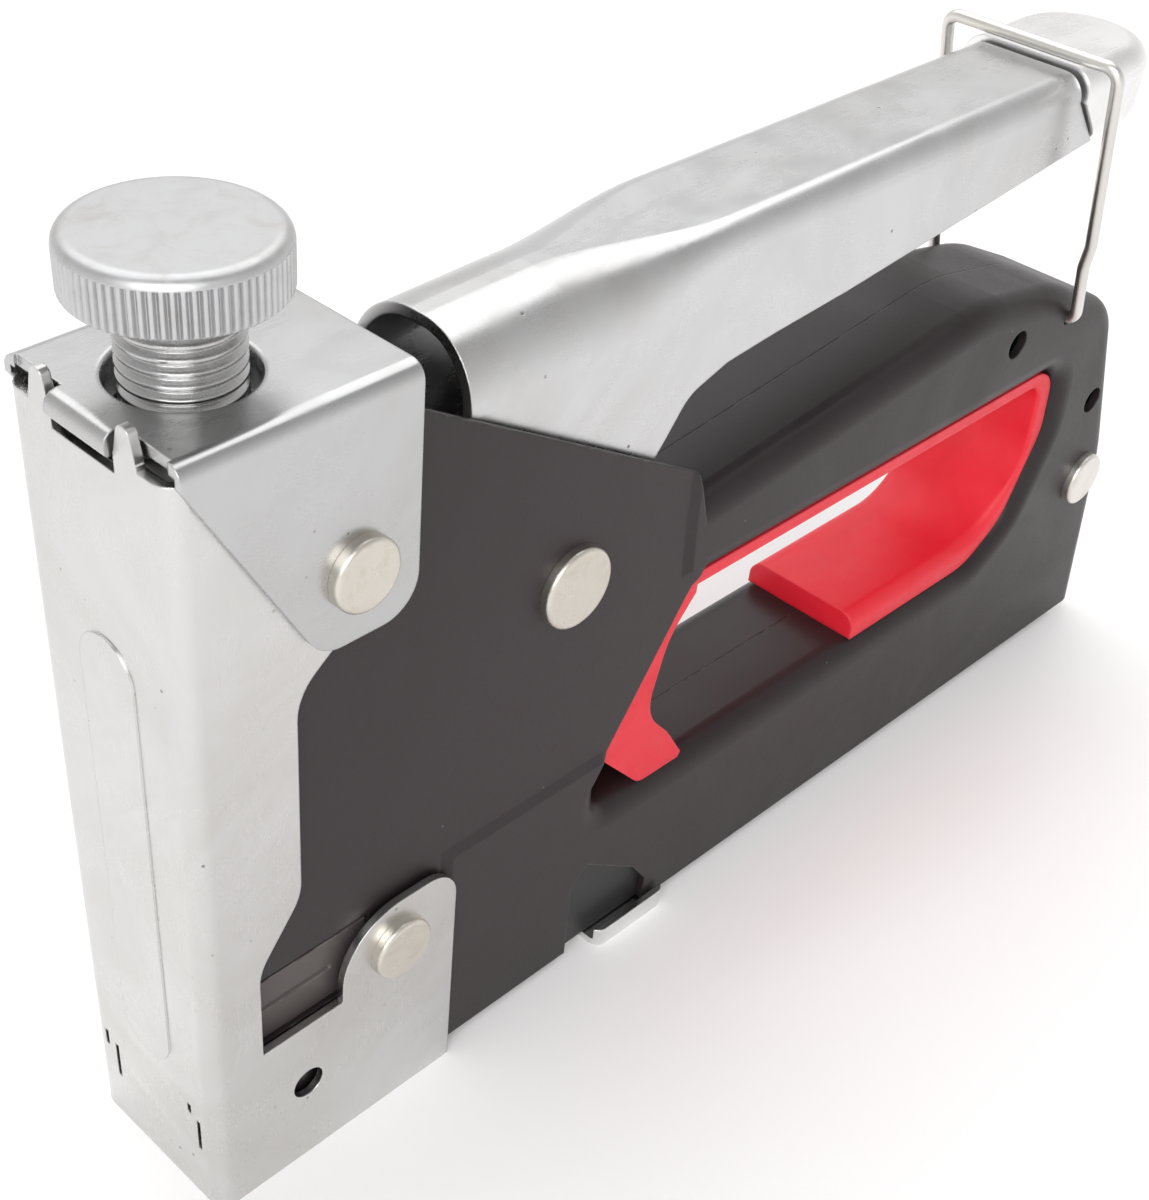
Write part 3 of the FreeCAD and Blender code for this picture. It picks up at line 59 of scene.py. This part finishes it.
class Finish:
    """One Principled material, with short calls for the textures that feed it."""

    def __init__(self, name, **uniform):
        self.material = bpy.data.materials.new(name)
        self.material.use_nodes = True
        self.tree = self.material.node_tree
        self.shader = self.tree.nodes["Principled BSDF"]
        for socket, value in uniform.items():
            self.shader.inputs[socket.replace("_", " ")].default_value = value
        self.place = self.node("ShaderNodeTexCoord").outputs["Object"]

    def node(self, kind, **settings):
        made = self.tree.nodes.new(kind)
        for name, value in settings.items():
            setattr(made, name, value)
        return made

    def feed(self, socket, source):
        if isinstance(source, (int, float, tuple)):
            socket.default_value = source
        else:
            self.tree.links.new(source, socket)

    def spots(self, stretch=(1, 1, 1), about=(0, 0, 0)):
        """Object coordinates, squeezed along some axes and measured from a point."""
        mapping = self.node("ShaderNodeMapping", vector_type="POINT")
        self.feed(mapping.inputs["Vector"], self.place)
        mapping.inputs["Scale"].default_value = stretch
        mapping.inputs["Location"].default_value = tuple(-a * s for a, s in zip(about, stretch))
        return mapping.outputs["Vector"]

    def noise(self, size, detail=3.0, rough=0.55, stretch=(1, 1, 1), warp=0.0):
        """Noise whose features are about this many metres across."""
        made = self.node("ShaderNodeTexNoise")
        self.feed(made.inputs["Vector"], self.spots(stretch))
        made.inputs["Scale"].default_value = 1 / size
        made.inputs["Detail"].default_value = detail
        made.inputs["Roughness"].default_value = rough
        made.inputs["Distortion"].default_value = warp
        return made.outputs["Fac"]

    def cells(self, size, feature="F1", output="Distance"):
        made = self.node("ShaderNodeTexVoronoi", feature=feature)
        self.feed(made.inputs["Vector"], self.spots())
        made.inputs["Scale"].default_value = 1 / size
        return made.outputs[output]

    def rings(self, pitch, axis, about, warp=0.5):
        """Turning marks: rings round an axis through a point."""
        made = self.node("ShaderNodeTexWave", wave_type="RINGS", rings_direction=axis)
        self.feed(made.inputs["Vector"], self.spots(about=about))
        made.inputs["Scale"].default_value = WAVE_SPACING / pitch
        made.inputs["Distortion"].default_value = warp
        made.inputs["Detail"].default_value = 2.0
        made.inputs["Detail Scale"].default_value = 6.0
        return made.outputs["Fac"]

    def spread(self, source, low, high, to_low, to_high):
        """Map a range of the source onto another range, held at its ends."""
        made = self.node("ShaderNodeMapRange")
        self.feed(made.inputs["Value"], source)
        set_range(made, low, high, to_low, to_high)
        return made.outputs["Result"]

    def reckon(self, operation, first, second):
        made = self.node("ShaderNodeMath", operation=operation)
        self.feed(made.inputs[0], first)
        self.feed(made.inputs[1], second)
        return made.outputs["Value"]

    def plus(self, first, second):
        return self.reckon("ADD", first, second)

    def minus(self, first, second):
        return self.reckon("SUBTRACT", first, second)

    def times(self, first, second):
        return self.reckon("MULTIPLY", first, second)

    def blend(self, share, low, high):
        """A colour between two colours or colour sources."""
        made = self.node("ShaderNodeMix", data_type="RGBA")
        self.feed(made.inputs["Factor"], share)
        self.feed(made.inputs["A"], low)
        self.feed(made.inputs["B"], high)
        return made.outputs["Result"]

    def soft_edges(self, radius):
        """The normal as it would be if every sharp edge were rounded this much."""
        made = self.node("ShaderNodeBevel", samples=BEVEL_SAMPLES)
        made.inputs["Radius"].default_value = radius
        return made.outputs["Normal"]

    def edge_share(self, radius):
        """0 on a flat, up to 1 where an outer edge turns."""
        turned = self.node("ShaderNodeVectorMath", operation="DOT_PRODUCT")
        self.feed(turned.inputs[0], self.soft_edges(radius))
        self.feed(turned.inputs[1], self.node("ShaderNodeNewGeometry").outputs["Normal"])
        return self.spread(turned.outputs["Value"], EDGE_BEGINS, EDGE_FULL, 0.0, 1.0)

    def bump(self, height, strength, depth, normal):
        made = self.node("ShaderNodeBump")
        made.inputs["Strength"].default_value = strength
        made.inputs["Distance"].default_value = depth
        self.feed(made.inputs["Height"], height)
        self.feed(made.inputs["Normal"], normal)
        return made.outputs["Normal"]

    def wear(self, **linked):
        """Plug texture sources into the shader's own sockets."""
        for socket, source in linked.items():
            self.feed(self.shader.inputs[socket.replace("_", " ")], source)
        return self.material


def grey(level, warm=0.0):
    """A grey, tinted a little towards yellow by warm or towards blue by a negative warm."""
    return (level * (1 + warm), level, level * (1 - 2 * warm), 1.0)


# ---------------------------------------------------------------- plated metal
def plate(name, level=0.82, warm=0.0, roughness=0.2, grain=(1, 1, 1), wave=1.0, pits=True):
    """Bright plating over pressed sheet: soft dents, fine polishing grain, handling marks, pits."""
    finish = Finish(name, Metallic=1.0, Specular_IOR_Level=0.5)
    smudge = finish.noise(14 * MM, 4.0, 0.6, warp=0.6)
    hairline = finish.noise(0.25 * MM, 2.0, 0.5, grain)
    stain = finish.noise(32 * MM, 5.0, 0.65, warp=1.2)
    shade = finish.blend(finish.spread(stain, 0.42, 0.72, 0.0, 1.0),
                         grey(level, warm), grey(level * 0.88, warm + 0.012))
    rough = finish.plus(finish.spread(smudge, 0.35, 0.7, roughness, roughness + 0.13),
                        finish.spread(hairline, 0.3, 0.7, -0.012, 0.02))
    # painted highlight: the plating's colour is made paler along its rounded edges
    edge_highlight = finish.edge_share(0.35 * MM)
    shade = finish.blend(finish.times(edge_highlight, 0.5), shade, grey(min(level * 1.1, 0.93), warm))
    normal = finish.bump(finish.noise(26 * MM, 1.5, 0.4), 0.22 * wave, 0.9 * MM,
                         finish.soft_edges(0.25 * MM))
    normal = finish.bump(hairline, 0.006, 0.015 * MM, normal)
    if pits:
        pit = finish.times(finish.spread(finish.cells(3.1 * MM), 0.045, 0.085, 1.0, 0.0),
                           finish.spread(finish.noise(9 * MM, 1.0), 0.55, 0.62, 0.0, 1.0))
        shade = finish.blend(finish.times(pit, 0.75), shade, grey(0.16, 0.05))
        rough = finish.plus(rough, finish.times(pit, 0.3))
        normal = finish.bump(finish.minus(1.0, pit), 0.35, 0.08 * MM, normal)
    return finish.wear(Base_Color=shade, Roughness=rough, Normal=normal)


def turned_metal(name, node, axis, level, warm, roughness, pitch, marking):
    """Lathe-turned, lightly buffed metal with its marks centred on the piece."""
    low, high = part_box(node)
    finish = Finish(name, Metallic=1.0, Specular_IOR_Level=0.5)
    marks = finish.rings(pitch, axis, tuple((low + high) / 2))
    smudge = finish.noise(3.5 * MM, 4.0, 0.65, warp=0.8)
    # painted highlight: the metal's colour is made paler along its rounded edges
    edge_highlight = finish.edge_share(0.3 * MM)
    tarnish = finish.spread(finish.noise(5 * MM, 5.0, 0.7, warp=1.5), 0.5, 0.75, 0.0, 0.7)
    shade = finish.blend(tarnish, grey(level, warm), grey(level * 0.8, warm + 0.04))
    shade = finish.blend(finish.times(edge_highlight, 0.5), shade, grey(min(level * 1.12, 0.93), warm))
    rough = finish.plus(finish.spread(smudge, 0.35, 0.7, roughness, roughness + 0.14),
                        finish.spread(marks, 0.0, 1.0, 0.0, 0.05))
    normal = finish.bump(marks, marking, 0.02 * MM, finish.soft_edges(0.2 * MM))
    normal = finish.bump(smudge, 0.03, 0.02 * MM, normal)
    return finish.wear(Base_Color=shade, Roughness=rough, Normal=normal)


def zinc(name):
    """Zinc-plated steel: small spangled patches with a cool cast."""
    finish = Finish(name, Metallic=1.0, Specular_IOR_Level=0.5)
    patch = finish.cells(2.4 * MM, output="Color")
    tone = finish.spread(patch, 0.2, 0.8, 0.0, 1.0)
    shade = finish.blend(tone, grey(0.52, -0.01), grey(0.66, 0.01))
    rough = finish.plus(finish.spread(tone, 0.0, 1.0, 0.3, 0.42),
                        finish.spread(finish.noise(1.2 * MM), 0.3, 0.7, -0.04, 0.06))
    normal = finish.bump(finish.noise(0.5 * MM, 4.0), 0.12, 0.04 * MM, finish.soft_edges(0.2 * MM))
    return finish.wear(Base_Color=shade, Roughness=rough, Normal=normal)


def drawn_steel(name, level, roughness, grain):
    """Hardened or oiled steel, with drawing lines along the piece and darker oxide blooms."""
    finish = Finish(name, Metallic=1.0, Specular_IOR_Level=0.5)
    lines = finish.noise(0.3 * MM, 3.0, 0.6, grain)
    bloom = finish.noise(6 * MM, 5.0, 0.7, warp=1.0)
    shade = finish.blend(finish.spread(bloom, 0.4, 0.75, 0.0, 1.0), grey(level), grey(level * 0.6, 0.03))
    rough = finish.plus(finish.spread(bloom, 0.3, 0.7, roughness, roughness + 0.14),
                        finish.spread(lines, 0.3, 0.7, -0.04, 0.06))
    normal = finish.bump(lines, 0.12, 0.04 * MM, finish.soft_edges(0.2 * MM))
    return finish.wear(Base_Color=shade, Roughness=rough, Normal=normal)


# ---------------------------------------------------------------- paint, rubber and plastic
def enamel(name, colour, bare, roughness, peel=1.0, chips=0.6):
    """Stoved black paint: orange peel, rubbed patches, dust nibs and thin paint on the edges."""
    finish = Finish(name, Specular_IOR_Level=0.30, Coat_Weight=0.04, Coat_Roughness=0.22)
    rubbed = finish.noise(22 * MM, 5.0, 0.6, warp=0.9)
    skin = finish.noise(1.1 * MM, 2.0, 0.5)
    fine = finish.noise(0.28 * MM, 2.0, 0.6)
    nib = finish.times(finish.spread(finish.cells(4.7 * MM), 0.02, 0.04, 1.0, 0.0),
                       finish.spread(finish.noise(12 * MM, 1.0), 0.52, 0.6, 0.0, 1.0))
    worn = finish.times(finish.edge_share(0.3 * MM),
                        finish.spread(finish.noise(2.2 * MM, 4.0, 0.7), 0.46, 0.62, 0.0, chips))
    cloudy = tuple(c * 1.5 for c in colour[:3]) + (1.0,)
    shade = finish.blend(finish.spread(rubbed, 0.4, 0.75, 0.0, 1.0), colour, cloudy)
    shade = finish.blend(finish.times(nib, 0.5), shade, grey(0.2))
    shade = finish.blend(worn, shade, bare)
    rough = finish.plus(finish.spread(rubbed, 0.35, 0.7, roughness, roughness + 0.12),
                        finish.spread(fine, 0.3, 0.7, -0.03, 0.04))
    normal = finish.bump(skin, 0.10 * peel, 0.10 * MM, finish.soft_edges(0.35 * MM))
    normal = finish.bump(fine, 0.07 * peel, 0.03 * MM, normal)
    normal = finish.bump(nib, 0.3, 0.05 * MM, normal)
    return finish.wear(Base_Color=shade, Roughness=rough, Normal=normal)


RED_DEEP = (0.66, 0.010, 0.026, 1.0)
RED_PALE = (0.76, 0.022, 0.040, 1.0)
# the paler red painted on the lining's edges is a painted highlight
RED_EDGE_HIGHLIGHT = (0.86, 0.10, 0.12, 1.0)


def soft_plastic(name):
    """Moulded red lining: fine spark-eroded grain, faint flow marks, and a painted paler highlight along
    its edges.
    """
    finish = Finish(name, Specular_IOR_Level=0.45, Subsurface_Weight=0.06,
                    Subsurface_Radius=(1.2 * MM, 0.35 * MM, 0.3 * MM), Subsurface_Scale=1.0)
    flow = finish.noise(16 * MM, 3.0, 0.55, (0.35, 1, 1), warp=0.8)
    grain = finish.noise(0.22 * MM, 2.0, 0.6)
    scuff = finish.noise(5 * MM, 5.0, 0.7, warp=1.4)
    shade = finish.blend(finish.spread(flow, 0.35, 0.7, 0.0, 1.0), RED_DEEP, RED_PALE)
    # painted highlight: the red is made paler along the rounded edges
    shade = finish.blend(finish.times(finish.edge_share(0.5 * MM), 0.35), shade, RED_EDGE_HIGHLIGHT)
    rough = finish.plus(finish.spread(scuff, 0.35, 0.7, 0.40, 0.54),
                        finish.spread(grain, 0.3, 0.7, -0.04, 0.05))
    normal = finish.bump(grain, 0.16, 0.03 * MM, finish.soft_edges(0.5 * MM))
    normal = finish.bump(flow, 0.08, 0.12 * MM, normal)
    return finish.wear(Base_Color=shade, Roughness=rough, Normal=normal)


def rubber(name):
    """Matt rubber with a dusty bloom."""
    finish = Finish(name, Specular_IOR_Level=0.3)
    dust = finish.noise(4 * MM, 6.0, 0.7)
    grain = finish.noise(0.4 * MM, 2.0)
    shade = finish.blend(finish.spread(dust, 0.4, 0.75, 0.0, 1.0), grey(0.022), grey(0.06, 0.02))
    rough = finish.spread(dust, 0.3, 0.7, 0.72, 0.9)
    normal = finish.bump(grain, 0.25, 0.05 * MM, finish.soft_edges(0.3 * MM))
    return finish.wear(Base_Color=shade, Roughness=rough, Normal=normal)


# ---------------------------------------------------------------- which finish each piece has
# fine lines drawn out along one axis
ALONG_X, ALONG_Z = (0.04, 1, 1), (1, 1, 0.04)
BLACK = (0.0175, 0.0125, 0.0135, 1.0)
OXIDE = (0.082, 0.070, 0.068, 1.0)

shared = {
    "enamel": enamel("black_enamel", BLACK, grey(0.17, 0.02), 0.36),
    "channel": enamel("dark_channel", grey(0.024), grey(0.22), 0.42, 0.7),
    "oxide": enamel("oxide_grey", OXIDE, grey(0.25, 0.03), 0.40, 0.6, 0.9),
    "cover": plate("chrome_cover", 0.63, 0.006, 0.22, ALONG_Z, 1.0),
    "cap": plate("chrome_cap", 0.52, -0.004, 0.20, ALONG_X, 0.8),
    "lever": plate("chrome_lever", 0.62, -0.006, 0.21, ALONG_X, 1.1),
    # the end cap is the lever's chrome given a much paler colour: a painted highlight
    "end": plate("chrome_end", 0.90, 0.0, 0.24, ALONG_X, 0.4, pits=False),
    "rail": plate("bright_rail", 0.78, 0.0, 0.22, ALONG_X, 0.5, pits=False),
    "wire": plate("nickel_wire", 0.72, 0.02, 0.26, ALONG_Z, 0.0, pits=False),
    "zinc": zinc("zinc_steel"),
    "spring": drawn_steel("spring_steel", 0.34, 0.30, ALONG_X),
    "hard": drawn_steel("dark_steel", 0.24, 0.36, ALONG_Z),
    "red": soft_plastic("red_plastic"),
    "rubber": rubber("black_rubber"),
}
WEARS = {
    "enamel": ("body_shell_left", "body_shell_right"),
    "channel": ("magazine_channel",),
    "oxide": ("nose_block",),
    "cover": ("front_cover",),
    "cap": ("top_cap",),
    "lever": ("handle_lever",),
    "end": ("handle_end_cap",),
    "rail": ("magazine_rail", "pusher_rod"),
    "wire": ("locking_bail",),
    "zinc": ("tension_nut", "spring_seat", "arm_spacers", "pivot_washers", "rear_spacer", "pusher"),
    "spring": ("power_spring", "pusher_spring"),
    "hard": ("plunger", "driver_blade", "lifting_arm", "nose_guide"),
    "red": ("grip_lining",),
    "rubber": ("plunger_bumper",),
}
# the turned pieces: (axis, grey level, warmth, roughness, pitch of the marks, strength of the marks)
TURNED = {
    "tension_knob": ("Z", 0.54, -0.006, 0.34, 0.30 * MM, 0.05),
    "tension_screw": ("Z", 0.52, 0.0, 0.15, 0.20 * MM, 0.01),
    "pivot_rivet": ("Y", 0.60, 0.050, 0.24, 0.35 * MM, 0.06),
    "cap_rivet": ("Y", 0.60, 0.050, 0.24, 0.35 * MM, 0.06),
    "ear_rivet": ("Y", 0.62, 0.050, 0.26, 0.35 * MM, 0.06),
    "rear_rivet": ("Y", 0.72, 0.030, 0.28, 0.35 * MM, 0.06),
    "lever_pin": ("Y", 0.66, 0.02, 0.30, 0.35 * MM, 0.06),
}


def paint(node, material):
    for slot in nodes[node].material_slots:
        slot.material = material


def paint_all():
    for finish, names in WEARS.items():
        for name in names:
            paint(name, shared[finish])
    for name, look in TURNED.items():
        paint(name, turned_metal(f"turned_{name}", name, *look))


# ---------------------------------------------------------------- studio
# strength of the surroundings near the horizon and overhead, and the heights (the upright part of
# the direction, 0 to 1) between which one passes into the other
HORIZON, ZENITH = 0.92, 0.42
HORIZON_END, ZENITH_START = 0.1, 0.9
WHITE = (1.0, 0.99, 0.985, 1.0)
FLOOR_WIDTH = 24.0
FLOOR_DULL, FLOOR_CLEAN = (0.94, 0.93, 0.93, 1.0), (0.96, 0.955, 0.955, 1.0)
# the floor's own light: none out to the first distance, all of it from the second
GLOW_START, GLOW_FULL, GLOW = 0.5, 1.6, 0.45
# the light boxes: (name, place from the tool's middle, width, height, power in watts)
SOFTBOXES = (
    ("key", (-0.75, -0.60, 0.70), 1.0, 0.8, 8.5),
    ("overhead", (0.25, 0.45, 1.0), 1.6, 1.2, 9.0),
)
# the camera: focal length and film width in millimetres, clipping, shift, place from the nose, the
# tool's middle plane and the sole, the way it looks, and its turn about that line in degrees
LENS, FILM = 54.4, 36.0
NEAR_CLIP, FAR_CLIP = 0.01, 20.0
SHIFT = (0.10875, 0.13858)
EYE = (-68.93 * MM, -114.62 * MM, 181.14 * MM)
LOOK = (0.52567, 0.52658, -0.66812)
ROLL = 2.793


def floor():
    """A wide pale sheet, matt with the faintest mottling, lit up far from the tool."""
    bpy.ops.mesh.primitive_plane_add(size=FLOOR_WIDTH, location=(0, 0, size_before[0].z))
    sheet = bpy.context.object
    sheet.name = "studio_floor"
    finish = Finish("studio_white", Roughness=0.62, Specular_IOR_Level=0.25)
    tone = finish.spread(finish.noise(0.3, 3.0), 0.3, 0.7, 0.0, 1.0)
    away = finish.node("ShaderNodeVectorMath", operation="LENGTH")
    finish.feed(away.inputs[0], finish.place)
    finish.shader.inputs["Emission Color"].default_value = WHITE
    finish.wear(Emission_Strength=finish.spread(away.outputs["Value"], GLOW_START, GLOW_FULL, 0.0, GLOW))
    sheet.data.materials.append(finish.wear(Base_Color=finish.blend(tone, FLOOR_DULL, FLOOR_CLEAN)))


def softbox(name, place, aim, width, height, power):
    light = bpy.data.lights.new(name, "AREA")
    light.shape, light.size, light.size_y = "RECTANGLE", width, height
    light.energy = power
    holder = bpy.data.objects.new(name, light)
    holder.location = place
    holder.rotation_mode = "QUATERNION"
    holder.rotation_quaternion = (aim - place).to_track_quat("-Z", "Y")
    bpy.context.scene.collection.objects.link(holder)


def studio():
    """Pale surroundings, greyer overhead, a broad overhead box and a side box for the near face."""
    world = bpy.data.worlds.new("studio")
    bpy.context.scene.world = world
    world.use_nodes = True
    steps, links = world.node_tree.nodes, world.node_tree.links
    around = steps.new("ShaderNodeTexCoord")
    height = steps.new("ShaderNodeSeparateXYZ")
    links.new(around.outputs["Generated"], height.inputs["Vector"])
    level = steps.new("ShaderNodeMapRange")
    links.new(height.outputs["Z"], level.inputs["Value"])
    set_range(level, HORIZON_END, ZENITH_START, HORIZON, ZENITH)
    background = steps["Background"]
    background.inputs["Color"].default_value = WHITE
    links.new(level.outputs["Result"], background.inputs["Strength"])
    middle = (size_before[0] + size_before[1]) / 2
    for name, place, width, height, power in SOFTBOXES:
        softbox(name, middle + Vector(place), middle, width, height, power)
    bpy.context.scene.view_settings.view_transform = "Standard"


def camera():
    """A close view down on the nose from the left, turned a little about its own axis."""
    eye = bpy.data.cameras.new("camera")
    eye.sensor_width, eye.lens = FILM, LENS
    eye.shift_x, eye.shift_y = SHIFT
    eye.clip_start, eye.clip_end = NEAR_CLIP, FAR_CLIP
    holder = bpy.data.objects.new("camera", eye)
    holder.location = (size_before[0].x + EYE[0], EYE[1], EYE[2])
    roll = Quaternion((0, 0, 1), math.radians(ROLL))
    holder.rotation_mode = "QUATERNION"
    holder.rotation_quaternion = Vector(LOOK).to_track_quat("-Z", "Y") @ roll
    bpy.context.scene.collection.objects.link(holder)
    bpy.context.scene.camera = holder


paint_all()
floor()
studio()
camera()
